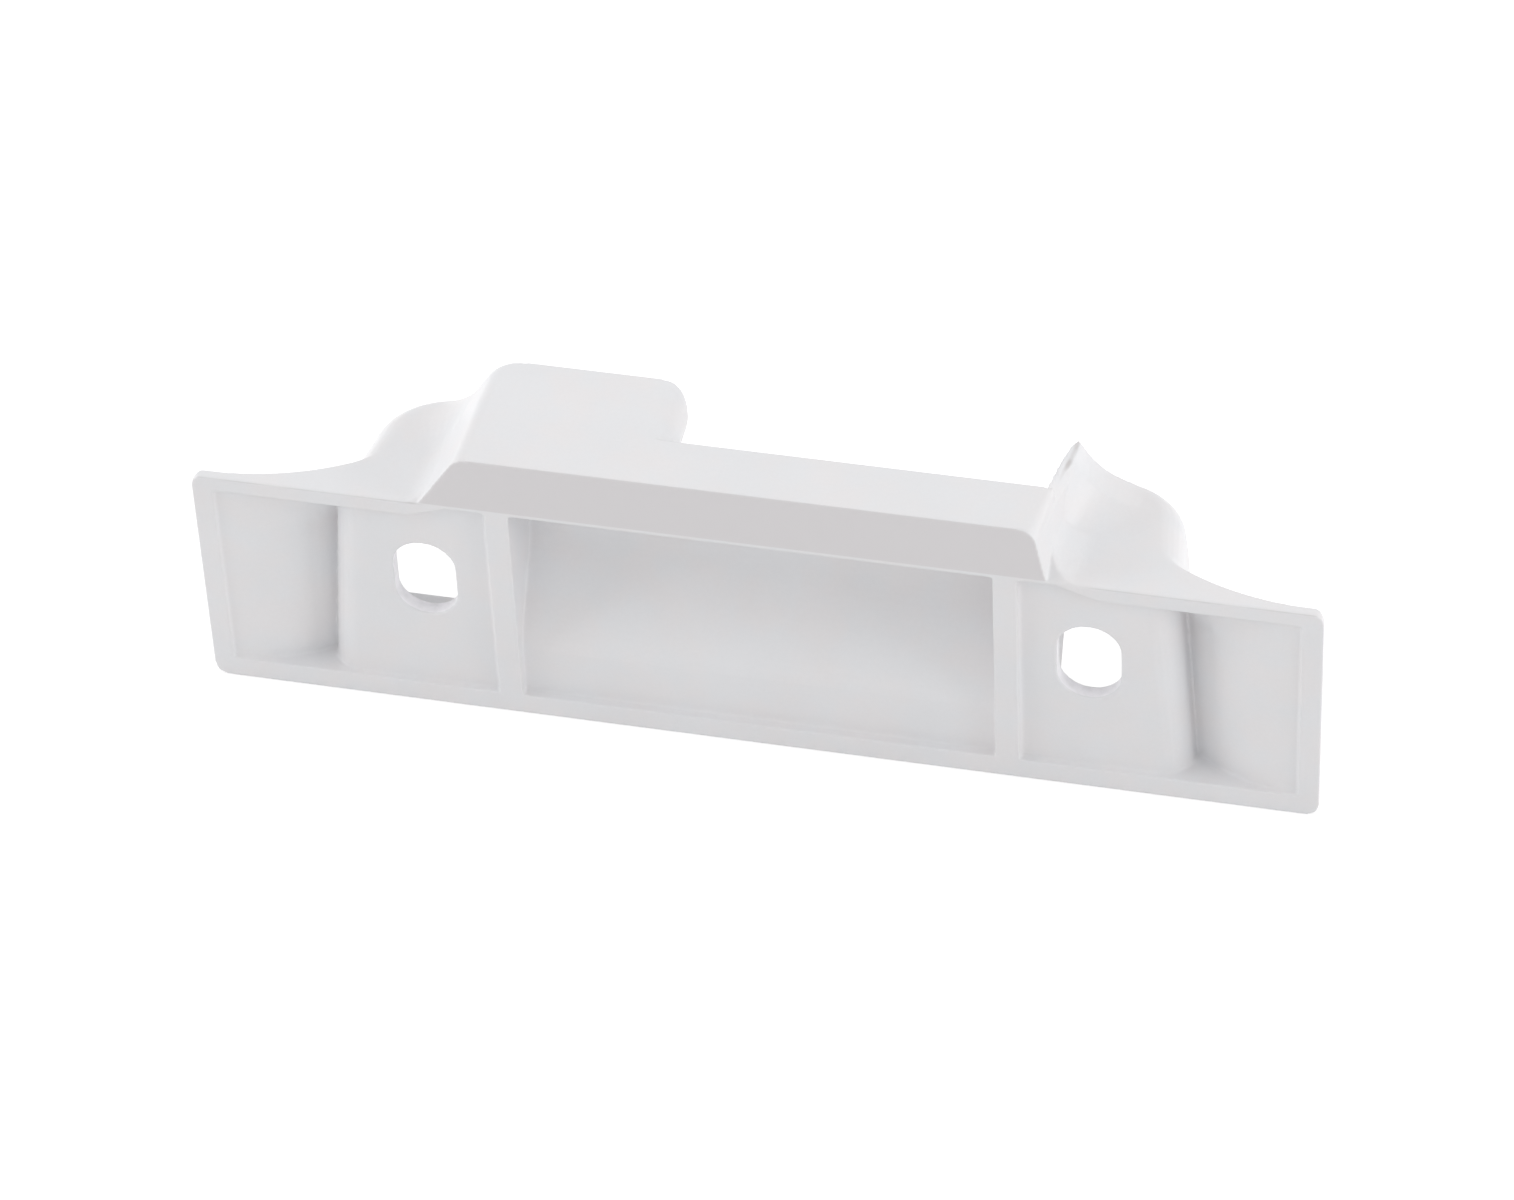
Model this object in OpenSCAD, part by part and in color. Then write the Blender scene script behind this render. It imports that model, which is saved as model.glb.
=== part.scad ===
// Refrigerator door pivot block: one white moulding with an open back.
// X runs along the block, Z up, and Y forward from the mounting face at Y = 0.
// The origin lies on the mounting face, midway between the two screw slots.

/* [Plate] */
// Length of the block
plate_l = 108; // [104:0.5:112]
// Height of the plate
plate_h = 25.8; // [25:0.1:27]
// Height of the plate's top edge above the slots
plate_top = 10.3; // [9.8:0.1:10.8]
// Width of the rim at the two ends
end_rim = 2; // [1.5:0.1:2.4]
// Width of the rim along the top edge
top_rim = 1.7; // [1.4:0.1:2]
// Width of the rim along the bottom edge
bottom_rim = 2.3; // [2:0.1:2.6]
// Radius of the plate's lower corners
corner_r = 1.3; // [0.8:0.1:1.8]

/* [Screw slots] */
// Distance between the slot centres
slot_pitch = 64; // [63:0.5:65]
// Width of a slot
slot_w = 6.1; // [5.5:0.1:6.5]
// Height of a slot from end to end
slot_h = 9; // [8.5:0.1:9.5]
// Thickness of the pad that the screw clamps
pad_t = 1.6; // [1.4:0.1:2]
// Depth of the pad below the mounting face
pad_sink = 0.7; // [0.5:0.1:0.9]

/* [Front shell] */
// Depth of the end pockets at the wing tips
tip_sink = 0.3; // [0.2:0.05:0.4]
// Reach of the cheeks in front of the mounting face
cheek_d = 14.8; // [14.5:0.1:15]
// Distance from the origin to the outer wall of the left cheek
left_wall_x = 38.3; // [38:0.1:38.5]
// Distance from the origin to the outer wall of the right cheek
right_wall_x = 39.2; // [39:0.1:39.4]
// Radius of the upper outer edge of the cheeks
edge_r = 2; // [1.6:0.1:2.2]
// Radius of the left cheek's front corner, seen from above
left_corner_r = 5.3; // [4.8:0.1:5.6]
// Radius of the right cheek's front corner, seen from above
right_corner_r = 5; // [4.2:0.1:5]
// How far the outer wall of the left cheek swells below its rounded edge
left_swell = 1.4; // [1.2:0.1:1.5]
// How far the outer wall of the right cheek swells below its rounded edge
right_swell = 0.6; // [0.4:0.1:0.7]
// Depth below the top edge at which the swell is complete
swell_h = 7; // [6.5:0.5:8]
// Thickness of a wing at its tip, along the top edge
wing_t = 1.1; // [1:0.1:1.3]

/* [Raised bridge] */
// Height of the bridge above the plate's top edge
bridge_h = 6.2; // [6:0.1:6.4]
// Depth of the ledge on the bridge
ledge_d = 6.2; // [6:0.1:6.5]
// Left edge of the bridge's flat top
bridge_left = -26.7; // [-26.9:0.1:-26.5]
// Right edge of the bridge's flat top
bridge_right = 25.5; // [25.3:0.1:25.7]
// Right edge of the tongue
tongue_right = -8.3; // [-8.6:0.1:-7.8]
// Thickness of the tongue
tongue_t = 5; // [4.6:0.1:5.4]

/* [Ribs] */
// Half width of the middle bay
bay_x = 23.1; // [22.8:0.1:23.4]
// Thickness of the two upright ribs
rib_t = 2.3; // [2:0.1:2.5]

/* [Hidden] */

$fn = 64;
past = 1;
hair = 0.05;

plate_bottom = plate_top - plate_h;
half_l = plate_l / 2;
bridge_top = plate_top + bridge_h;
rib_x = bay_x + rib_t;
inner_top = plate_top - top_rim;
inner_bottom = plate_bottom + bottom_rim;

// Wing: a hollow curve in plan that sweeps from the tip into the cheek
sweep_x = 52.5;
sweep_r_top = 26;
sweep_r_full = 17;
wing_swell = 0.4;
tip_r = 1;

// Cheek: its outer wall leans, and it meets the wing in a small fillet
lean = 0.8;
foot_fillet = 1.6;
corner_share = 0.6;
wall_share = 0.25;
cheek_inner = 26.6;
belly_rise = 0.6;
belly_start = 5;
belly_end = 24;
cheek_foot = 8;

// Middle wall: it leans out below the bridge, then draws in towards the bottom
middle_full = 8;
middle_turn = 6;
middle_end = 19;
middle_foot = 2.3;
middle_wall = 1.3;
middle_root = 0.9;
roof_dip = 0.3;

// Screw pad, its outer edge and the recess in front of it
left_boss_x = 40.5;
right_boss_x = 39.8;
boss_lean = 0.08;
boss_r = 3;
recess_in = 27.8;
recess_wall = 1.3;
recess_roof = 1.9;
left_recess_low = -9.8;
right_recess_low = -10.7;
recess_r = 1.5;
pad_top_x = 31;
pad_top_run = 2;

// Bridge: its flanks turn towards the right as they run forward
sunk = 0.3;
right_slant = 0.078;
left_slant = 0.035;
left_r = 2;
left_lean = 56.6;
left_turn_r = 1.8;
right_r = 1.8;
right_r_front = 0.8;
right_turn = 7;
right_rise = 10;
right_run = 0.95;

// Hollow feet of the flanks, cut off along a slope at the back
foot_cut = 32;
foot_far = 36.4;
left_foot_r = 2.8;
right_foot_r = 3.6;
foot_r_front = 7.5;
foot_turn = 7;
foot_grow = 4.5;
right_foot_x = 27.6;
right_foot_front_x = 28.25;
crest_h = 5.3;
crease_h = 4.3;
crease_w = 0.45;

// Tongue and the gap beside it
tongue_d = 14.55;
tongue_r = 2.9;
tongue_side_r = 2.3;
tongue_draft = 0.65;
gap_right = 27.4;
gap_lean = 7.4;

function mix(a, b, t) = a + (b - a) * t;
function clamp(t) = max(0, min(1, t));
function ease(t) = (1 + cos(180 * clamp(t))) / 2;

// Points on a circle from angle a to angle b
function arc(c, r, a, b, n) = [for (i = [0:n]) c + r * [cos(mix(a, b, i / n)), sin(mix(a, b, i / n))]];

// Points on a curve that leaves p towards c and arrives at q
function bend(p, c, q, n) =
    [for (i = [0:n]) let (t = i / n) (1 - t) * (1 - t) * p + 2 * t * (1 - t) * c + t * t * q];

// Share of the swell at depth d below the top edge
function grown(d) = clamp(d / swell_h);
function sweep_r(d) = mix(sweep_r_top, sweep_r_full, grown(d));
function wing_y(d) = wing_t + wing_swell * grown(d);
function sweep_y(x, d) =
    wing_y(d) + sweep_r(d) - sqrt(pow(sweep_r(d), 2) - pow(max(0, sweep_x - x), 2));
function pocket_y(x, d) = sweep_y(x, d) - wing_y(d) + tip_sink;
function rounded(d) = edge_r - sqrt(pow(edge_r, 2) - pow(max(0, edge_r - d), 2));
function cheek_side(d, wall, swell) = wall - rounded(d) + swell * grown(d);
function cheek_front(d) =
    d < belly_start ? cheek_d + belly_rise * d / belly_start :
    mix(cheek_foot, cheek_d + belly_rise, ease((d - belly_start) / (belly_end - belly_start)));

// Front curve of a wing and its cheek seen from above, at depth d
function side_curve(d, wall, corner, swell) =
    let (
        side = cheek_side(d, wall, swell),
        front = cheek_front(d),
        foot = [side + lean, sweep_y(side + lean, d)],
        r = min(corner, (front - foot[1]) * corner_share),
        sweep_end = foot[0] + foot_fillet,
        start = [sweep_end, sweep_y(sweep_end, d)],
        wall_start = mix(foot, [side, front - r], wall_share)
    )
    concat(
        arc([half_l - tip_r, wing_y(d) - tip_r], tip_r, 0, 90, 5),
        [for (i = [0:9]) let (x = mix(sweep_x, sweep_end, i / 10)) [x, sweep_y(x, d)]],
        bend(start, foot, wall_start, 6),
        arc([side - r, front - r], r, 0, 90, 12),
        [[cheek_inner, front]]
    );

// Floor curve of the pocket behind a wing, at depth d
function pocket_curve(d, boss) =
    let (
        edge = boss + boss_lean * d,
        deep = pocket_y(edge, d),
        r = min(boss_r, deep - pad_sink - 2 * hair)
    )
    concat(
        [for (i = [0:12]) let (x = mix(half_l - end_rim, edge + hair, i / 12)) [x, pocket_y(x, d)]],
        arc([edge - r, pad_sink + r], r, 0, -90, 7)
    );

side_levels = [0, 0.1, 0.35, 0.8, 1.35, 2, 3.5, 5, 7, 9, 11, 13, 15, 17, 19, 21, 23, 24.5, plate_h];
pocket_levels = [top_rim, 3, 5, 7, 12, plate_h - bottom_rim];

// Solid between the plane y = back and a stack of front curves with equal numbers of points
module loft(curves, levels, back) {
    n = len(curves[0]);
    m = len(levels);
    low = m - 1;
    front_spots = [for (i = [0:low]) for (p = curves[i]) [p[0], p[1], plate_top - levels[i]]];
    top_spots = [for (p = curves[0]) [p[0], back, plate_top - levels[0]]];
    low_spots = [for (p = curves[low]) [p[0], back, plate_top - levels[low]]];
    top_row = m * n;
    low_row = top_row + n;
    front_faces = [for (i = [0:low - 1]) for (j = [0:n - 2])
        [i * n + j, i * n + j + 1, (i + 1) * n + j + 1, (i + 1) * n + j]];
    back_faces = [for (j = [0:n - 2]) [top_row + j + 1, top_row + j, low_row + j, low_row + j + 1]];
    top_faces = [for (j = [0:n - 2]) [top_row + j, top_row + j + 1, j + 1, j]];
    low_faces = [for (j = [0:n - 2]) [low_row + j + 1, low_row + j, low * n + j, low * n + j + 1]];
    outer_end = [concat([top_row], [for (i = [0:low]) i * n], [low_row])];
    inner_end = [concat([top_row + n - 1, low_row + n - 1], [for (i = [low:-1:0]) i * n + n - 1])];
    polyhedron(
        concat(front_spots, top_spots, low_spots),
        concat(front_faces, back_faces, top_faces, low_faces, outer_end, inner_end)
    );
}

// Extrudes an outline drawn in X and Z forward from y
module forward(y, reach) {
    translate([0, y + reach, 0])
        rotate([90, 0, 0])
            linear_extrude(reach)
                children();
}

// Extrudes an outline drawn in Y and Z along X from x
module along(x, reach) {
    translate([x, 0, 0])
        rotate([90, 0, 90])
            linear_extrude(reach)
                children();
}

// Wing and cheek of one end
module end_shell(wall, corner, swell) {
    loft([for (d = side_levels) side_curve(d, wall, corner, swell)], side_levels, 0);
}

// Hollow behind the wing of one end
module wing_pocket(boss) {
    loft([for (d = pocket_levels) pocket_curve(d, boss)], pocket_levels, -past);
}

// Front face of the middle wall, seen from the end, set back by t
function middle_curve(t) =
    [for (i = [0:18]) let (d = mix(middle_turn, middle_end, i / 18))
        [mix(middle_foot, middle_full, ease((d - middle_turn) / (middle_end - middle_turn))) - t, plate_top - d]];

// Wall between the two cheeks, with the bridge above it
module middle_wall_block() {
    along(-cheek_inner - past / 2, 2 * cheek_inner + past)
        polygon(concat(
            [[0, plate_bottom], [0, plate_top], [ledge_d + middle_root, plate_top]],
            middle_curve(0),
            [[middle_foot, plate_bottom]]
        ));
}

// How far a plan corner of radius r has drawn in at y
function turned(y, r) = r - sqrt(pow(r, 2) - pow(max(0, y - tongue_d + r), 2));

// Section of the bridge at y: X and height above the plate, from right to left
function bridge_curve(y) =
    let (
        side = bridge_right + right_r + right_slant * y,
        r = mix(right_r, right_r_front, clamp(y / right_turn)),
        left = bridge_left + left_slant * y + turned(y, left_turn_r),
        left_y = bridge_h - left_r
    )
    concat(
        [[side + right_run, -sunk]],
        arc([side - r, bridge_h - r], r, right_rise, 90, 9),
        arc([left, left_y], left_r, 90, 90 + left_lean, 8),
        [[left - ((left_y + sunk) * cos(left_lean) + left_r) / sin(left_lean), -sunk]]
    );

// Radius at y of a foot that has radius r at the back
function foot_at(y, r) = mix(r, foot_r_front, clamp((y - foot_turn) / foot_grow));

// Section of the right foot at y
function right_foot_curve(y) =
    let (
        r = foot_at(y, right_foot_r),
        x = mix(right_foot_x, right_foot_front_x, clamp(y / (foot_turn + foot_grow))),
        high = min(r, crest_h)
    )
    concat(
        [[foot_far, -sunk]],
        arc([x + r, r], r, 270, 180 + asin((r - high) / r), 10),
        [[bridge_right, high]]
    );

// Section of the left foot at y
function left_foot_curve(y) =
    let (
        x = bridge_left + left_slant * y + turned(y, left_turn_r),
        r = foot_at(y, left_foot_r),
        touch = (bridge_h - left_r) * cos(left_lean) + left_r,
        run = touch / sin(left_lean) + r * tan(left_lean / 2) - hair
    )
    concat(
        [[bridge_left, left_foot_r * (1 - cos(left_lean))]],
        arc([x - run, r], r, left_lean - 90, -90, 8),
        [[-foot_far, -sunk]]
    );

bridge_levels = [0, 2, 4, 7, 10, 12.75, 13.25, 13.7, 14.05, 14.3, 14.45, tongue_d];
foot_levels = [0, 3, 7, 8.5, 10, 11.5, 12.75, 13.25, 13.7, 14.05, 14.3, 14.45, tongue_d];

// Solid along Y between a stack of sections and a plane sunk into the plate
module section_loft(curves, levels) {
    translate([0, plate_top, plate_top])
        rotate([90, 0, 0])
            loft(curves, levels, -2 * sunk);
}

// Everything above the block's outline at the top edge
module above_outline() {
    right = side_curve(0, right_wall_x, right_corner_r, right_swell);
    left = side_curve(0, left_wall_x, left_corner_r, left_swell);
    translate([0, 0, plate_top - past])
        linear_extrude(bridge_h + 2 * past)
            polygon(concat(
                [[half_l, -past]],
                right,
                [for (i = [len(left) - 1:-1:0]) [-left[i][0], left[i][1]]],
                [[-half_l, -past]]
            ));
}

// Bridge over the whole depth, before the gap is cut
module bridge_block() {
    section_loft([for (y = bridge_levels) bridge_curve(y)], bridge_levels);
    intersection() {
        union() {
            section_loft([for (y = foot_levels) right_foot_curve(y)], foot_levels);
            section_loft([for (y = foot_levels) left_foot_curve(y)], foot_levels);
        }
        above_outline();
        along(-half_l, plate_l)
            polygon([
                [0, plate_top],
                [bridge_h / tan(foot_cut), bridge_top],
                [cheek_d + past, bridge_top],
                [cheek_d + past, plate_top - past],
                [0, plate_top - past]
            ]);
    }
}

// Tongue that stays in front of the ledge: round along its right side and in plan
module tongue() {
    side_c = [tongue_right - tongue_side_r, bridge_top - tongue_side_r];
    corner = tongue_right - tongue_r;
    low = bridge_top - tongue_t;
    intersection() {
        forward(0, tongue_d + past)
            polygon(concat(
                [[-half_l, low], [tongue_right - tongue_draft, low]],
                arc(side_c, tongue_side_r, 0, 90, 10),
                [[side_c[0], bridge_top + past], [-half_l, bridge_top + past]]
            ));
        translate([0, 0, plate_top])
            union() {
                translate([corner, tongue_d - tongue_r, 0])
                    cylinder(h = bridge_h + 2 * past, r = tongue_r);
                translate([-half_l, 0, 0])
                    cube([half_l + corner, tongue_d + past, bridge_h + 2 * past]);
                translate([-half_l, 0, 0])
                    cube([half_l + tongue_right, tongue_d - tongue_r, bridge_h + 2 * past]);
            }
    }
}

// Open gap in front of the ledge, between the tongue and the right cheek
module front_gap() {
    difference() {
        translate([-cheek_inner, ledge_d, plate_top - 3 * sunk])
            cube([2 * half_l, cheek_d, bridge_h + past]);
        tongue();
        translate([gap_right, ledge_d, plate_top - past])
            rotate([0, 0, -gap_lean])
                translate([0, -past, 0])
                    cube([half_l, 2 * cheek_d, bridge_h + 3 * past]);
    }
}

// Fine groove between the right flank and its foot
module flank_crease() {
    translate([bridge_right + right_r, 0, plate_top + crease_h])
        rotate([0, 0, -atan(right_slant)])
            cube([crease_w, cheek_d + past, bridge_h]);
}

// Bay behind the middle wall, with a floor that follows the wall
module middle_bay() {
    along(-bay_x, 2 * bay_x)
        polygon(concat(
            [[-past, inner_bottom], [-past, plate_top - roof_dip], [middle_full - middle_wall, plate_top - roof_dip]],
            middle_curve(middle_wall),
            [[middle_foot - middle_wall, inner_bottom]]
        ));
}

// Shallow sink of the screw pad below the mounting face
module pad_sink_cut(boss) {
    forward(-past, pad_sink + past)
        polygon([
            [rib_x, inner_bottom],
            [rib_x, plate_top - roof_dip],
            [pad_top_x - pad_top_run, plate_top - roof_dip],
            [pad_top_x + pad_top_run, inner_top],
            [boss, inner_top],
            [boss, inner_bottom]
        ]);
}

// Deep recess that brings the screw head down to the pad
module screw_recess(wall, swell, low) {
    full = wall + swell - recess_wall;
    forward(pad_sink + pad_t, cheek_d + past)
        polygon(concat(
            arc([recess_in + recess_r, low + recess_r], recess_r, 180, 270, 4),
            arc([full - recess_r, low + recess_r], recess_r, 270, 360, 4),
            [[full, plate_top - swell_h], [wall - recess_wall, plate_top - recess_roof]],
            [[recess_in, plate_top - recess_roof]]
        ));
}

// Upright slot that lets the block be set up and down on its screw
module screw_slot() {
    span = slot_h - slot_w;
    translate([slot_pitch / 2, -past, 0])
        rotate([-90, 0, 0]) {
            for (s = [-1, 1])
                translate([0, s * span / 2, 0])
                    cylinder(h = cheek_d, d = slot_w);
            translate([-slot_w / 2, -span / 2, 0])
                cube([slot_w, span, cheek_d]);
        }
}

// Plate outline with rounded corners, seen from the back
module plate_corners() {
    low = [half_l - corner_r, plate_bottom + corner_r];
    high = [half_l - tip_r, plate_top - tip_r];
    forward(-past, cheek_d + 4 * past)
        union() {
            for (s = [-1, 1]) {
                translate([s * low[0], low[1]])
                    circle(corner_r);
                translate([s * high[0], high[1]])
                    circle(tip_r);
            }
            translate([-low[0], plate_bottom])
                square([2 * low[0], plate_h]);
            translate([-half_l, low[1]])
                square([plate_l, high[1] - low[1]]);
            translate([-high[0], low[1]])
                square([2 * high[0], plate_top - low[1]]);
            translate([-foot_far, plate_top - past])
                square([2 * foot_far, bridge_h + 2 * past]);
        }
}

// All that is hollow in one end
module hollows(boss, wall, swell, low) {
    wing_pocket(boss);
    pad_sink_cut(boss);
    screw_recess(wall, swell, low);
    screw_slot();
}

// The whole moulding
module pivot_block() {
    color("whitesmoke")
        difference() {
            union() {
                intersection() {
                    union() {
                        end_shell(right_wall_x, right_corner_r, right_swell);
                        mirror([1, 0, 0])
                            end_shell(left_wall_x, left_corner_r, left_swell);
                        middle_wall_block();
                    }
                    plate_corners();
                }
                difference() {
                    bridge_block();
                    front_gap();
                    flank_crease();
                }
            }
            hollows(right_boss_x, right_wall_x, right_swell, right_recess_low);
            mirror([1, 0, 0])
                hollows(left_boss_x, left_wall_x, left_swell, left_recess_low);
            middle_bay();
        }
}

pivot_block();
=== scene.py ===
"""Refrigerator door pivot block: the white moulding with its finish, on a pale studio floor."""

import math

import bmesh
import bpy
from mathutils import Matrix, Vector


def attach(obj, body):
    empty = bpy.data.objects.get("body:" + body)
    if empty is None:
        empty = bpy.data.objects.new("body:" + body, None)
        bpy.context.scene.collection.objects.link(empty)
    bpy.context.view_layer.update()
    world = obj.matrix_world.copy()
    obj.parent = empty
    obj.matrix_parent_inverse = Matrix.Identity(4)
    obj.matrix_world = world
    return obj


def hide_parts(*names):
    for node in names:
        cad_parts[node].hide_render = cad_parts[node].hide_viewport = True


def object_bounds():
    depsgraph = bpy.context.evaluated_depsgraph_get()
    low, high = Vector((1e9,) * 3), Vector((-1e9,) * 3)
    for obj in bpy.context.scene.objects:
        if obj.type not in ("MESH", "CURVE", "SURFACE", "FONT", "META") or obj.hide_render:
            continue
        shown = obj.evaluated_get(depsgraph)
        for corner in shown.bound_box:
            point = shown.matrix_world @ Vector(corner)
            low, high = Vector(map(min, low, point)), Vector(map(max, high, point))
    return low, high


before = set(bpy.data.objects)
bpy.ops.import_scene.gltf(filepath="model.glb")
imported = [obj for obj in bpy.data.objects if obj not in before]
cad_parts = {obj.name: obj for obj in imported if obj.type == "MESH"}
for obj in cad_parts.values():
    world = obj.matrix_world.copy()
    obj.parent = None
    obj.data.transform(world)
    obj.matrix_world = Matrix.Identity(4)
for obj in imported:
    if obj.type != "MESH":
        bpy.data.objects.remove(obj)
CAD_LOW, CAD_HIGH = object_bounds()

bl_info = {
    "name": "Refrigerator Door Pivot Block",
    "version": (1, 0, 0),
    "blender": (4, 5, 0),
    "location": "View3D > Sidebar > Pivot Block",
    "description": "Finishes the white moulded pivot block and sets it on a studio floor",
    "category": "Object",
}

MM = 0.001
BLOCK_NODE = "pivot_block"

# Dark lines in mm, a mould seam along the top edge and painted shade in the crest's groove: a point on the line, its
# direction, width, start and end from the point
SEAM_AND_CREASE_SHADE_LINES = (
    ((0.0, 0.0, 10.3), (1.0, 0.0, 0.0), 0.1, 31.0, 56.0),
    # Painted shade: a dark line in the groove at the foot of the crest beside the gap
    ((28.25, 11.0, 15.3), (0.09, 1.0, -0.05), 0.22, -9.0, 4.5),
)

# Slot walls brightened with painted light, in mm: middle and half size of the box round each
SLOT_WALL_PAINTED_LIGHT = (
    ((-32.0, 1.5, 0.0), (4.0, 0.7, 5.5)),
    ((32.0, 1.5, 0.0), (4.0, 0.7, 5.5)),
)

# Backing of the thin crest beside the gap, in mm: Y, then X, height and X, height of its two upper edges, then its foot
CREST_BACKING = (
    (6.5, 27.0, 5.8, 28.05, 4.3, 2.4),
    (8.0, 27.2, 5.7, 28.3, 4.2, 2.4),
    (10.0, 27.5, 5.62, 28.55, 4.2, 2.9),
    (11.5, 27.75, 5.52, 28.7, 5.0, 3.2),
    (13.0, 28.05, 5.3, 28.85, 4.8, 3.4),
    (14.45, 28.45, 5.0, 28.95, 4.4, 3.4),
)
PLATE_TOP = 10.3
GAP_START = 6.5


class MouldingSettings(bpy.types.PropertyGroup):
    """How finely the moulding is meshed and how soft its edges are"""

    cell: bpy.props.FloatProperty(
        name="Cell",
        description="Size of the mesh cells before thinning",
        default=0.15 * MM,
        min=0.15 * MM,
        max=0.5 * MM,
        subtype="DISTANCE",
        unit="LENGTH",
        precision=5,
    )
    soften_passes: bpy.props.IntProperty(
        name="Edge softening",
        description="Smoothing passes that round the moulded edges",
        default=7,
        min=1,
        max=20,
    )
    triangles: bpy.props.IntProperty(
        name="Triangles",
        description="Most triangles that the finished moulding may have",
        default=170000,
        min=20000,
        max=195000,
    )


class PlasticSettings(bpy.types.PropertyGroup):
    """Colour and surface of the white plastic"""

    color: bpy.props.FloatVectorProperty(
        name="Colour",
        description="Colour of the plastic",
        default=(0.798, 0.784, 0.793),
        size=3,
        min=0.0,
        max=1.0,
        subtype="COLOR",
    )
    tint: bpy.props.FloatVectorProperty(
        name="Tint",
        description="Colour that the plastic drifts to in slow patches",
        default=(0.785, 0.787, 0.804),
        size=3,
        min=0.0,
        max=1.0,
        subtype="COLOR",
    )
    roughness: bpy.props.FloatProperty(
        name="Roughness",
        description="Roughness of the moulded skin",
        default=0.36,
        min=0.05,
        max=1.0,
        subtype="FACTOR",
    )
    grain_size: bpy.props.FloatProperty(
        name="Grain size",
        description="Size of the fine grain left by the mould",
        default=0.35 * MM,
        min=0.05 * MM,
        max=2 * MM,
        subtype="DISTANCE",
        unit="LENGTH",
        precision=5,
    )


class StageSettings(bpy.types.PropertyGroup):
    """Floor, lamps and camera"""

    floor_color: bpy.props.FloatVectorProperty(
        name="Floor colour",
        description="Colour of the floor and the wall behind it",
        default=(0.86, 0.86, 0.86),
        size=3,
        min=0.0,
        max=1.0,
        subtype="COLOR",
    )
    azimuth: bpy.props.FloatProperty(
        name="Azimuth",
        description="Camera's angle round the block",
        default=math.radians(14.813),
        subtype="ANGLE",
        unit="ROTATION",
    )
    elevation: bpy.props.FloatProperty(
        name="Elevation",
        description="Camera's angle above the horizon",
        default=math.radians(43.295),
        subtype="ANGLE",
        unit="ROTATION",
    )
    roll: bpy.props.FloatProperty(
        name="Roll",
        description="Camera's tilt about its own line of sight",
        default=math.radians(-3.074),
        subtype="ANGLE",
        unit="ROTATION",
    )
    distance: bpy.props.FloatProperty(
        name="Distance",
        description="Distance from the camera to the point that it looks at",
        default=602.05 * MM,
        subtype="DISTANCE",
        unit="LENGTH",
    )
    target: bpy.props.FloatVectorProperty(
        name="Target",
        description="Point that the camera looks at",
        default=(0.614 * MM, 0.0, 3.412 * MM),
        size=3,
        subtype="TRANSLATION",
        unit="LENGTH",
    )
    lens: bpy.props.FloatProperty(
        name="Lens",
        description="Focal length in millimetres on a sensor 36 mm wide",
        default=153.05,
        min=20.0,
        max=400.0,
    )


# Shared shader effects


def add_socket(group, name, kind, in_out, default=None):
    """Gives a node group one input or output."""
    socket = group.interface.new_socket(name=name, in_out=in_out, socket_type=kind)
    if default is not None:
        socket.default_value = default
    return socket


def link_math(tree, operation, first, second=None, third=None):
    """A Math node fed with sockets or numbers; returns its output."""
    node = tree.nodes.new("ShaderNodeMath")
    node.operation = operation
    for place, value in enumerate((first, second, third)):
        if value is None:
            continue
        if isinstance(value, bpy.types.NodeSocket):
            tree.links.new(value, node.inputs[place])
        else:
            node.inputs[place].default_value = value
    return node.outputs[0]


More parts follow.
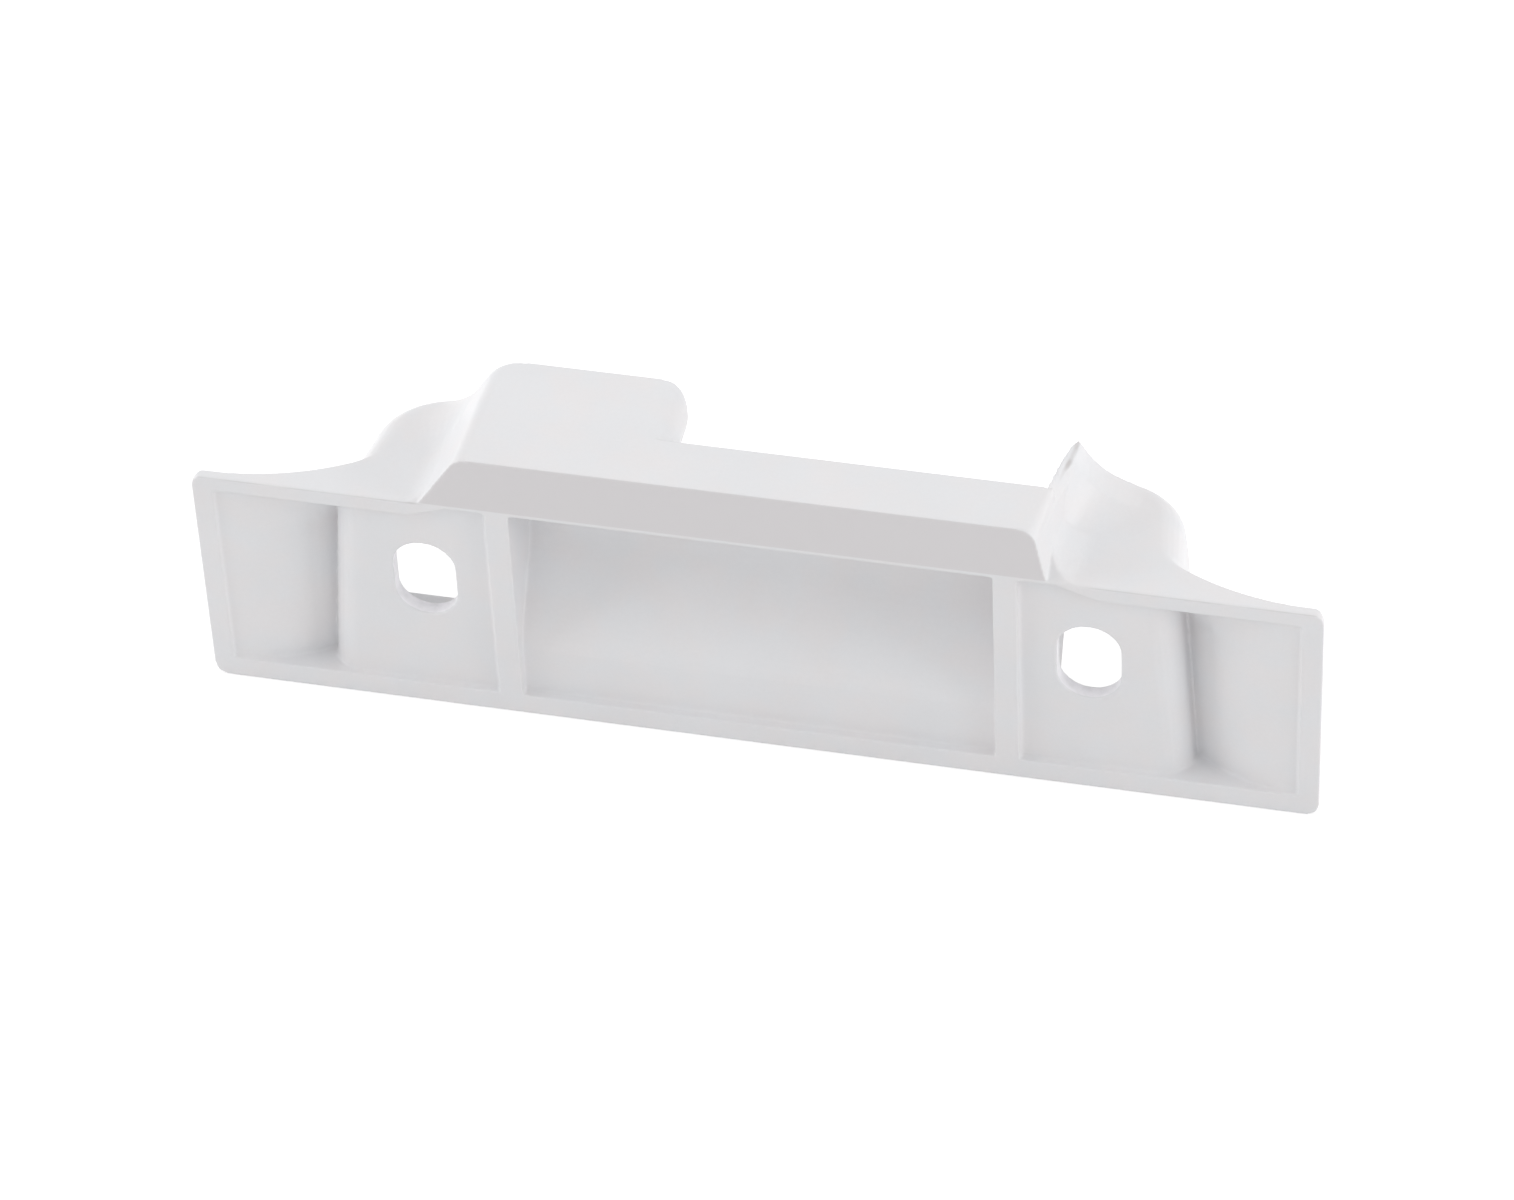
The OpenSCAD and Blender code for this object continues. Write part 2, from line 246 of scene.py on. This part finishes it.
def moulded_grain_group():
    """Node group: fine grain and slow unevenness of a moulded plastic skin."""
    group = bpy.data.node_groups.new("Moulded grain", "ShaderNodeTree")
    add_socket(group, "Vector", "NodeSocketVector", "INPUT")
    add_socket(group, "Color", "NodeSocketColor", "INPUT", (0.8, 0.8, 0.8, 1.0))
    add_socket(group, "Tint", "NodeSocketColor", "INPUT", (0.8, 0.8, 0.8, 1.0))
    add_socket(group, "Roughness", "NodeSocketFloat", "INPUT", 0.4)
    add_socket(group, "Grain scale", "NodeSocketFloat", "INPUT", 2500.0)
    add_socket(group, "Grain depth", "NodeSocketFloat", "INPUT", 0.3)
    add_socket(group, "Wave scale", "NodeSocketFloat", "INPUT", 90.0)
    add_socket(group, "Wave depth", "NodeSocketFloat", "INPUT", 0.6)
    add_socket(group, "Color", "NodeSocketColor", "OUTPUT")
    add_socket(group, "Roughness", "NodeSocketFloat", "OUTPUT")
    add_socket(group, "Height", "NodeSocketFloat", "OUTPUT")
    ins = group.nodes.new("NodeGroupInput")
    outs = group.nodes.new("NodeGroupOutput")

    grain = group.nodes.new("ShaderNodeTexNoise")
    grain.inputs["Detail"].default_value = 3.0
    group.links.new(ins.outputs["Vector"], grain.inputs["Vector"])
    group.links.new(ins.outputs["Grain scale"], grain.inputs["Scale"])

    wave = group.nodes.new("ShaderNodeTexNoise")
    wave.inputs["Detail"].default_value = 2.0
    group.links.new(ins.outputs["Vector"], wave.inputs["Vector"])
    group.links.new(ins.outputs["Wave scale"], wave.inputs["Scale"])

    patches = group.nodes.new("ShaderNodeTexNoise")
    patches.inputs["Detail"].default_value = 3.0
    group.links.new(ins.outputs["Vector"], patches.inputs["Vector"])
    group.links.new(link_math(group, "MULTIPLY", ins.outputs["Wave scale"], 2.3), patches.inputs["Scale"])
    patch = held(group, link_math(group, "MULTIPLY_ADD", patches.outputs["Fac"], 5.0, -2.0))
    tinted = mix_colors(group, patch, ins.outputs["Color"], ins.outputs["Tint"])

    tone = group.nodes.new("ShaderNodeMapRange")
    tone.inputs["From Min"].default_value = 0.35
    tone.inputs["From Max"].default_value = 0.65
    tone.inputs["To Min"].default_value = 0.975
    tone.inputs["To Max"].default_value = 1.005
    mottle = link_math(group, "MULTIPLY_ADD", grain.outputs["Fac"], 0.35, link_math(group, "MULTIPLY", wave.outputs["Fac"], 0.65))
    group.links.new(mottle, tone.inputs["Value"])
    shade = group.nodes.new("ShaderNodeVectorMath")
    shade.operation = "SCALE"
    group.links.new(tinted, shade.inputs[0])
    group.links.new(tone.outputs["Result"], shade.inputs["Scale"])
    group.links.new(shade.outputs[0], outs.inputs["Color"])

    uneven = link_math(group, "MULTIPLY_ADD", wave.outputs["Fac"], 0.12, -0.06)
    speckle = link_math(group, "MULTIPLY_ADD", grain.outputs["Fac"], 0.10, -0.05)
    summed = link_math(group, "ADD", uneven, speckle)
    rough = link_math(group, "ADD", ins.outputs["Roughness"], summed)
    group.links.new(rough, outs.inputs["Roughness"])

    fine = link_math(group, "MULTIPLY", grain.outputs["Fac"], ins.outputs["Grain depth"])
    slow = link_math(group, "MULTIPLY", wave.outputs["Fac"], ins.outputs["Wave depth"])
    group.links.new(link_math(group, "ADD", fine, slow), outs.inputs["Height"])
    return group


def split_vector(group, socket):
    """The three parts of a vector socket."""
    parts = group.nodes.new("ShaderNodeSeparateXYZ")
    group.links.new(socket, parts.inputs[0])
    return parts.outputs


def vector_math(group, operation, first, second=None):
    """A Vector Math node fed with sockets; returns the node."""
    node = group.nodes.new("ShaderNodeVectorMath")
    node.operation = operation
    group.links.new(first, node.inputs[0])
    if second is not None:
        group.links.new(second, node.inputs[1])
    return node


def held(group, value):
    """A value socket kept between 0 and 1."""
    return link_math(group, "MAXIMUM", link_math(group, "MINIMUM", value, 1.0), 0.0)


def mix_colors(group, amount, first, second):
    """Mixes two colour sockets by an amount socket; returns the mixed colour."""
    mix = group.nodes.new("ShaderNodeMix")
    mix.data_type = "RGBA"
    group.links.new(amount, mix.inputs["Factor"])
    group.links.new(first, mix.inputs["A"])
    group.links.new(second, mix.inputs["B"])
    return mix.outputs["Result"]


def back_band_group():
    """Node group: a matt band on the back face above a given height."""
    group = bpy.data.node_groups.new("Back band", "ShaderNodeTree")
    add_socket(group, "Vector", "NodeSocketVector", "INPUT")
    add_socket(group, "Color", "NodeSocketColor", "INPUT", (0.8, 0.8, 0.8, 1.0))
    add_socket(group, "Roughness", "NodeSocketFloat", "INPUT", 0.4)
    add_socket(group, "Band color", "NodeSocketColor", "INPUT", (0.7, 0.68, 0.69, 1.0))
    add_socket(group, "Band roughness", "NodeSocketFloat", "INPUT", 0.55)
    add_socket(group, "Band low", "NodeSocketFloat", "INPUT", 0.0104)
    add_socket(group, "Band depth", "NodeSocketFloat", "INPUT", 0.0001)
    add_socket(group, "Edge", "NodeSocketFloat", "INPUT", 0.0001)
    add_socket(group, "Color", "NodeSocketColor", "OUTPUT")
    add_socket(group, "Roughness", "NodeSocketFloat", "OUTPUT")
    ins = group.nodes.new("NodeGroupInput")
    outs = group.nodes.new("NodeGroupOutput")
    parts = split_vector(group, ins.outputs["Vector"])
    above = link_math(group, "SUBTRACT", parts[2], ins.outputs["Band low"])
    above = link_math(group, "DIVIDE", above, ins.outputs["Edge"])
    near = link_math(group, "SUBTRACT", ins.outputs["Band depth"], parts[1])
    near = link_math(group, "DIVIDE", near, ins.outputs["Edge"])
    amount = held(group, link_math(group, "MINIMUM", above, near))
    group.links.new(mix_colors(group, amount, ins.outputs["Color"], ins.outputs["Band color"]), outs.inputs["Color"])
    extra = link_math(group, "SUBTRACT", ins.outputs["Band roughness"], ins.outputs["Roughness"])
    group.links.new(link_math(group, "MULTIPLY_ADD", extra, amount, ins.outputs["Roughness"]), outs.inputs["Roughness"])
    return group


def slot_light_group():
    """Node group: painted light, a paler colour in uneven patches on whatever lies inside a box given by its middle and
    half size.
    """
    group = bpy.data.node_groups.new("Painted light on slot walls", "ShaderNodeTree")
    add_socket(group, "Vector", "NodeSocketVector", "INPUT")
    add_socket(group, "Color", "NodeSocketColor", "INPUT", (0.8, 0.8, 0.8, 1.0))
    add_socket(group, "Painted light color", "NodeSocketColor", "INPUT", (0.98, 0.97, 1.0, 1.0))
    add_socket(group, "Middle", "NodeSocketVector", "INPUT")
    add_socket(group, "Half size", "NodeSocketVector", "INPUT", (0.01, 0.01, 0.01))
    add_socket(group, "Edge", "NodeSocketFloat", "INPUT", 0.0001)
    add_socket(group, "Color", "NodeSocketColor", "OUTPUT")
    ins = group.nodes.new("NodeGroupInput")
    outs = group.nodes.new("NodeGroupOutput")
    offset = vector_math(group, "SUBTRACT", ins.outputs["Vector"], ins.outputs["Middle"])
    offset = vector_math(group, "ABSOLUTE", offset.outputs["Vector"])
    inside = vector_math(group, "SUBTRACT", ins.outputs["Half size"], offset.outputs["Vector"])
    parts = split_vector(group, inside.outputs["Vector"])
    least = link_math(group, "MINIMUM", link_math(group, "MINIMUM", parts[0], parts[1]), parts[2])
    amount = held(group, link_math(group, "DIVIDE", least, ins.outputs["Edge"]))
    # Uneven patches in the painted light
    light_patches = group.nodes.new("ShaderNodeTexNoise")
    light_patches.inputs["Scale"].default_value = 900.0
    light_patches.inputs["Detail"].default_value = 2.0
    group.links.new(ins.outputs["Vector"], light_patches.inputs["Vector"])
    uneven = held(group, link_math(group, "MULTIPLY_ADD", light_patches.outputs["Fac"], 1.6, 0.1))
    amount = link_math(group, "MULTIPLY", amount, uneven)
    group.links.new(mix_colors(group, amount, ins.outputs["Color"], ins.outputs["Painted light color"]), outs.inputs["Color"])
    return group


def seam_and_shade_line_group():
    """Node group: a broken dark line along a straight edge, between two distances from a point on it, used for a mould
    seam and for painted shade in a crease.
    """
    group = bpy.data.node_groups.new("Seam and crease shade line", "ShaderNodeTree")
    add_socket(group, "Vector", "NodeSocketVector", "INPUT")
    add_socket(group, "Color", "NodeSocketColor", "INPUT", (0.8, 0.8, 0.8, 1.0))
    add_socket(group, "Line color", "NodeSocketColor", "INPUT", (0.58, 0.56, 0.56, 1.0))
    add_socket(group, "Point", "NodeSocketVector", "INPUT")
    add_socket(group, "Direction", "NodeSocketVector", "INPUT", (1.0, 0.0, 0.0))
    add_socket(group, "Width", "NodeSocketFloat", "INPUT", 0.00015)
    add_socket(group, "Start", "NodeSocketFloat", "INPUT", 0.0)
    add_socket(group, "End", "NodeSocketFloat", "INPUT", 0.1)
    add_socket(group, "Fade", "NodeSocketFloat", "INPUT", 0.002)
    add_socket(group, "Color", "NodeSocketColor", "OUTPUT")
    ins = group.nodes.new("NodeGroupInput")
    outs = group.nodes.new("NodeGroupOutput")
    offset = vector_math(group, "SUBTRACT", ins.outputs["Vector"], ins.outputs["Point"])
    across = vector_math(group, "CROSS_PRODUCT", offset.outputs["Vector"], ins.outputs["Direction"])
    away = vector_math(group, "LENGTH", across.outputs["Vector"])
    amount = link_math(group, "DIVIDE", away.outputs["Value"], ins.outputs["Width"])
    amount = held(group, link_math(group, "SUBTRACT", 1.5, amount))
    run = vector_math(group, "DOT_PRODUCT", offset.outputs["Vector"], ins.outputs["Direction"])
    run = link_math(group, "ABSOLUTE", run.outputs["Value"])
    after = link_math(group, "SUBTRACT", run, ins.outputs["Start"])
    before = link_math(group, "SUBTRACT", ins.outputs["End"], run)
    stretch = link_math(group, "MINIMUM", after, before)
    stretch = held(group, link_math(group, "DIVIDE", stretch, ins.outputs["Fade"]))
    breaks = group.nodes.new("ShaderNodeTexNoise")
    breaks.inputs["Scale"].default_value = 260.0
    breaks.inputs["Detail"].default_value = 2.0
    group.links.new(ins.outputs["Vector"], breaks.inputs["Vector"])
    broken = held(group, link_math(group, "MULTIPLY_ADD", breaks.outputs["Fac"], 2.4, -0.4))
    broken = link_math(group, "MAXIMUM", broken, 0.3)
    amount = link_math(group, "MULTIPLY", link_math(group, "MULTIPLY", amount, stretch), broken)
    group.links.new(mix_colors(group, amount, ins.outputs["Color"], ins.outputs["Line color"]), outs.inputs["Color"])
    return group


def plastic_material(name, settings, grain_group, roughness, grain_depth):
    """White plastic with the shared moulded grain at its own strength."""
    material = bpy.data.materials.new(name)
    material.use_nodes = True
    tree = material.node_tree
    shader = tree.nodes["Principled BSDF"]
    place = tree.nodes.new("ShaderNodeTexCoord")
    grain = tree.nodes.new("ShaderNodeGroup")
    grain.node_tree = grain_group
    tree.links.new(place.outputs["Object"], grain.inputs["Vector"])
    grain.inputs["Color"].default_value = (*settings.color, 1.0)
    grain.inputs["Tint"].default_value = (*settings.tint, 1.0)
    grain.inputs["Roughness"].default_value = roughness
    grain.inputs["Grain scale"].default_value = 1.0 / settings.grain_size
    grain.inputs["Grain depth"].default_value = grain_depth
    band = tree.nodes.new("ShaderNodeGroup")
    band.node_tree = back_band_group()
    tree.links.new(place.outputs["Object"], band.inputs["Vector"])
    tree.links.new(grain.outputs["Color"], band.inputs["Color"])
    tree.links.new(grain.outputs["Roughness"], band.inputs["Roughness"])
    color = band.outputs["Color"]
    # Painted light: a paler colour on the walls of both slots
    slot_light_group_tree = slot_light_group()
    for middle, half_size in SLOT_WALL_PAINTED_LIGHT:
        slot_light = tree.nodes.new("ShaderNodeGroup")
        slot_light.node_tree = slot_light_group_tree
        tree.links.new(place.outputs["Object"], slot_light.inputs["Vector"])
        tree.links.new(color, slot_light.inputs["Color"])
        slot_light.inputs["Middle"].default_value = [part * MM for part in middle]
        slot_light.inputs["Half size"].default_value = [part * MM for part in half_size]
        color = slot_light.outputs["Color"]
    # Dark lines: a mould seam on the top edge and painted shade in the crest's groove
    seam_and_shade_group = seam_and_shade_line_group()
    for point, direction, width, start, end in SEAM_AND_CREASE_SHADE_LINES:
        dark_line = tree.nodes.new("ShaderNodeGroup")
        dark_line.node_tree = seam_and_shade_group
        tree.links.new(place.outputs["Object"], dark_line.inputs["Vector"])
        tree.links.new(color, dark_line.inputs["Color"])
        dark_line.inputs["Point"].default_value = [part * MM for part in point]
        dark_line.inputs["Direction"].default_value = Vector(direction).normalized()
        dark_line.inputs["Width"].default_value = width * MM
        dark_line.inputs["Start"].default_value = start * MM
        dark_line.inputs["End"].default_value = end * MM
        color = dark_line.outputs["Color"]
    tree.links.new(color, shader.inputs["Base Color"])
    tree.links.new(band.outputs["Roughness"], shader.inputs["Roughness"])
    bump = tree.nodes.new("ShaderNodeBump")
    bump.inputs["Strength"].default_value = 0.4
    bump.inputs["Distance"].default_value = 0.03 * MM
    tree.links.new(grain.outputs["Height"], bump.inputs["Height"])
    tree.links.new(bump.outputs["Normal"], shader.inputs["Normal"])
    shader.inputs["IOR"].default_value = 1.49
    return material


# The moulding


def add_crest_backing(mesh):
    """Joins a slim backing to the crest beside the gap, so that the softened mesh keeps it whole."""
    shape = bmesh.new()
    shape.from_mesh(mesh)
    rings = []
    for y, left, left_high, right, right_high, low in CREST_BACKING:
        corners = ((left, low), (left, left_high), (right, right_high), (right, low))
        rings.append([shape.verts.new((x * MM, y * MM, (PLATE_TOP + high) * MM)) for x, high in corners])
    for ring, following in zip(rings, rings[1:]):
        for i in range(4):
            j = (i + 1) % 4
            shape.faces.new((ring[i], following[i], following[j], ring[j]))
    shape.faces.new(rings[0])
    shape.faces.new(list(reversed(rings[-1])))
    shape.to_mesh(mesh)
    shape.free()


def trim_crest(mesh):
    """Brings what stands above the crest's backing down to it, so that the crest ends in an even edge."""
    for vertex in mesh.vertices:
        x, y, z = (part / MM for part in vertex.co)
        if y < GAP_START or z < PLATE_TOP + CREST_BACKING[0][5]:
            continue
        for near, far in zip(CREST_BACKING, CREST_BACKING[1:]):
            if not near[0] <= y <= far[0]:
                continue
            along = (y - near[0]) / (far[0] - near[0])
            left, left_high, right, right_high = (a + (b - a) * along for a, b in zip(near[1:5], far[1:5]))
            if left - 0.5 < x < right:
                across = max(0.0, (x - left) / (right - left))
                top = PLATE_TOP + left_high + (right_high - left_high) * across
                vertex.co.z = min(z, top) * MM


def refined_mesh(node, settings):
    """The node's solid as a fine even mesh with its edges softened."""
    source = node.data.copy()
    source.materials.clear()
    add_crest_backing(source)
    piece = bpy.data.objects.new("moulding_work", source)
    bpy.context.scene.collection.objects.link(piece)
    remesh = piece.modifiers.new("Even cells", "REMESH")
    remesh.mode = "VOXEL"
    remesh.voxel_size = settings.cell
    remesh.adaptivity = 0.0
    soften = piece.modifiers.new("Soft edges", "SMOOTH")
    soften.factor = 0.5
    soften.iterations = settings.soften_passes
    graph = bpy.context.evaluated_depsgraph_get()
    mesh = bpy.data.meshes.new_from_object(piece.evaluated_get(graph))
    bpy.data.objects.remove(piece)
    bpy.data.meshes.remove(source)
    trim_crest(mesh)
    return mesh


def thinned(mesh, triangles):
    """The mesh with its flat stretches thinned until it keeps to the triangle budget."""
    count = sum(len(face.vertices) - 2 for face in mesh.polygons)
    piece = bpy.data.objects.new("moulding_thin", mesh)
    bpy.context.scene.collection.objects.link(piece)
    if count > triangles:
        thin = piece.modifiers.new("Thin", "DECIMATE")
        thin.ratio = triangles / count
    graph = bpy.context.evaluated_depsgraph_get()
    done = bpy.data.meshes.new_from_object(piece.evaluated_get(graph))
    bpy.data.objects.remove(piece)
    bpy.data.meshes.remove(mesh)
    return done


class PIVOT_OT_moulding(bpy.types.Operator):
    """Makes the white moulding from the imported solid, with soft edges and its plastic finish"""

    bl_idname = "pivot.moulding"
    bl_label = "Moulding"

    def execute(self, context):
        settings = context.scene.pivot_moulding
        plastic = context.scene.pivot_plastic
        mesh = thinned(refined_mesh(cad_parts[BLOCK_NODE], settings), settings.triangles)
        mesh.shade_smooth()
        piece = bpy.data.objects.new("block_moulding", mesh)
        context.scene.collection.objects.link(piece)
        grain = moulded_grain_group()
        mesh.materials.clear()
        mesh.materials.append(plastic_material("White plastic skin", plastic, grain, plastic.roughness, 0.3))
        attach(piece, "root")
        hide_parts(BLOCK_NODE)
        return {"FINISHED"}


# The stage


def seen_white(tree, surface, strength):
    """Adds light to a surface for the camera and for reflections only, so that it shows white."""
    path = tree.nodes.new("ShaderNodeLightPath")
    seen = link_math(tree, "ADD", path.outputs["Is Camera Ray"], path.outputs["Is Glossy Ray"])
    seen = link_math(tree, "ADD", seen, path.outputs["Is Transmission Ray"])
    seen = link_math(tree, "MINIMUM", seen, 1.0)
    glow = tree.nodes.new("ShaderNodeEmission")
    tree.links.new(link_math(tree, "MULTIPLY", seen, strength), glow.inputs["Strength"])
    both = tree.nodes.new("ShaderNodeAddShader")
    tree.links.new(surface, both.inputs[0])
    tree.links.new(glow.outputs[0], both.inputs[1])
    return both.outputs[0]


def stage_material(color):
    """Matt white of the floor."""
    material = bpy.data.materials.new("Studio paper")
    material.use_nodes = True
    tree = material.node_tree
    shader = tree.nodes["Principled BSDF"]
    shader.inputs["Base Color"].default_value = (*color, 1.0)
    shader.inputs["Roughness"].default_value = 0.9
    out = tree.nodes["Material Output"]
    tree.links.new(seen_white(tree, shader.outputs[0], 0.34), out.inputs["Surface"])
    return material


def add_area_lamp(name, place, size, power):
    """A square soft lamp at a place, turned towards the block."""
    lamp = bpy.data.lights.new(name, "AREA")
    lamp.shape = "SQUARE"
    lamp.size = size
    lamp.energy = power
    holder = bpy.data.objects.new(name, lamp)
    holder.location = place
    holder.rotation_mode = "QUATERNION"
    holder.rotation_quaternion = (-Vector(place)).to_track_quat("-Z", "Y")
    bpy.context.scene.collection.objects.link(holder)


def add_camera(stage):
    """The camera at the photograph's angle."""
    a, e, r = stage.azimuth, stage.elevation, stage.roll
    back = Vector((math.sin(a) * math.cos(e), -math.cos(a) * math.cos(e), math.sin(e)))
    level_right = Vector((math.cos(a), math.sin(a), 0.0))
    level_up = back.cross(level_right)
    right = level_right * math.cos(r) + level_up * math.sin(r)
    up = level_up * math.cos(r) - level_right * math.sin(r)
    camera = bpy.data.cameras.new("Camera")
    camera.lens = stage.lens
    camera.sensor_width = 36.0
    camera.clip_start = 0.01
    camera.clip_end = 20.0
    holder = bpy.data.objects.new("Camera", camera)
    turned = Matrix((right, up, back)).transposed().to_4x4()
    holder.matrix_world = Matrix.Translation(Vector(stage.target) + back * stage.distance) @ turned
    bpy.context.scene.collection.objects.link(holder)
    bpy.context.scene.camera = holder


class PIVOT_OT_stage(bpy.types.Operator):
    """Makes the floor, the white world behind it, the soft lamps and the camera"""

    bl_idname = "pivot.stage"
    bl_label = "Stage"

    def execute(self, context):
        stage = context.scene.pivot_stage
        scene = context.scene
        floor_mesh = bpy.data.meshes.new("floor")
        shape = bmesh.new()
        bmesh.ops.create_grid(shape, x_segments=1, y_segments=1, size=2.0)
        shape.to_mesh(floor_mesh)
        shape.free()
        floor = bpy.data.objects.new("floor", floor_mesh)
        floor.location = (0.0, 0.0, CAD_LOW.z)
        floor_mesh.materials.append(stage_material(stage.floor_color))
        scene.collection.objects.link(floor)

        world = bpy.data.worlds.new("Soft room")
        world.use_nodes = True
        scene.world = world
        tree = world.node_tree
        path = tree.nodes.new("ShaderNodeLightPath")
        backdrop = tree.nodes["Background"]
        strength = link_math(tree, "MULTIPLY_ADD", path.outputs["Is Camera Ray"], 0.285, 0.715)
        tree.links.new(strength, backdrop.inputs["Strength"])
        backdrop.inputs["Color"].default_value = (1.0, 1.0, 1.0, 1.0)

        add_area_lamp("Left lamp", (-0.7, -0.08, 0.24), 0.45, 2.0)
        add_area_lamp("Right lamp", (0.7, -0.08, 0.2), 0.4, 1.75)
        add_area_lamp("Far lamp", (0.0, 0.6, 0.55), 0.7, 0.95)
        add_area_lamp("Top lamp", (-0.15, -0.28, 0.85), 0.4, 0.18)
        add_camera(stage)
        scene.view_settings.view_transform = "Standard"
        return {"FINISHED"}


class PIVOT_PT_panel(bpy.types.Panel):
    """Lists the steps and settings of the pivot block"""

    bl_label = "Pivot Block"
    bl_idname = "PIVOT_PT_panel"
    bl_space_type = "VIEW_3D"
    bl_region_type = "UI"
    bl_category = "Pivot Block"

    def draw(self, context):
        layout = self.layout
        for settings in (context.scene.pivot_moulding, context.scene.pivot_plastic, context.scene.pivot_stage):
            box = layout.box()
            for name in settings.__annotations__:
                box.prop(settings, name)
        layout.operator(PIVOT_OT_moulding.bl_idname)
        layout.operator(PIVOT_OT_stage.bl_idname)


CLASSES = (
    MouldingSettings,
    PlasticSettings,
    StageSettings,
    PIVOT_OT_moulding,
    PIVOT_OT_stage,
    PIVOT_PT_panel,
)


def register():
    for item in CLASSES:
        bpy.utils.register_class(item)
    bpy.types.Scene.pivot_moulding = bpy.props.PointerProperty(type=MouldingSettings)
    bpy.types.Scene.pivot_plastic = bpy.props.PointerProperty(type=PlasticSettings)
    bpy.types.Scene.pivot_stage = bpy.props.PointerProperty(type=StageSettings)


def unregister():
    del bpy.types.Scene.pivot_moulding
    del bpy.types.Scene.pivot_plastic
    del bpy.types.Scene.pivot_stage
    for item in reversed(CLASSES):
        bpy.utils.unregister_class(item)


def main():
    register()
    bpy.ops.pivot.stage()
    bpy.ops.pivot.moulding()


if __name__ == "__main__":
    main()
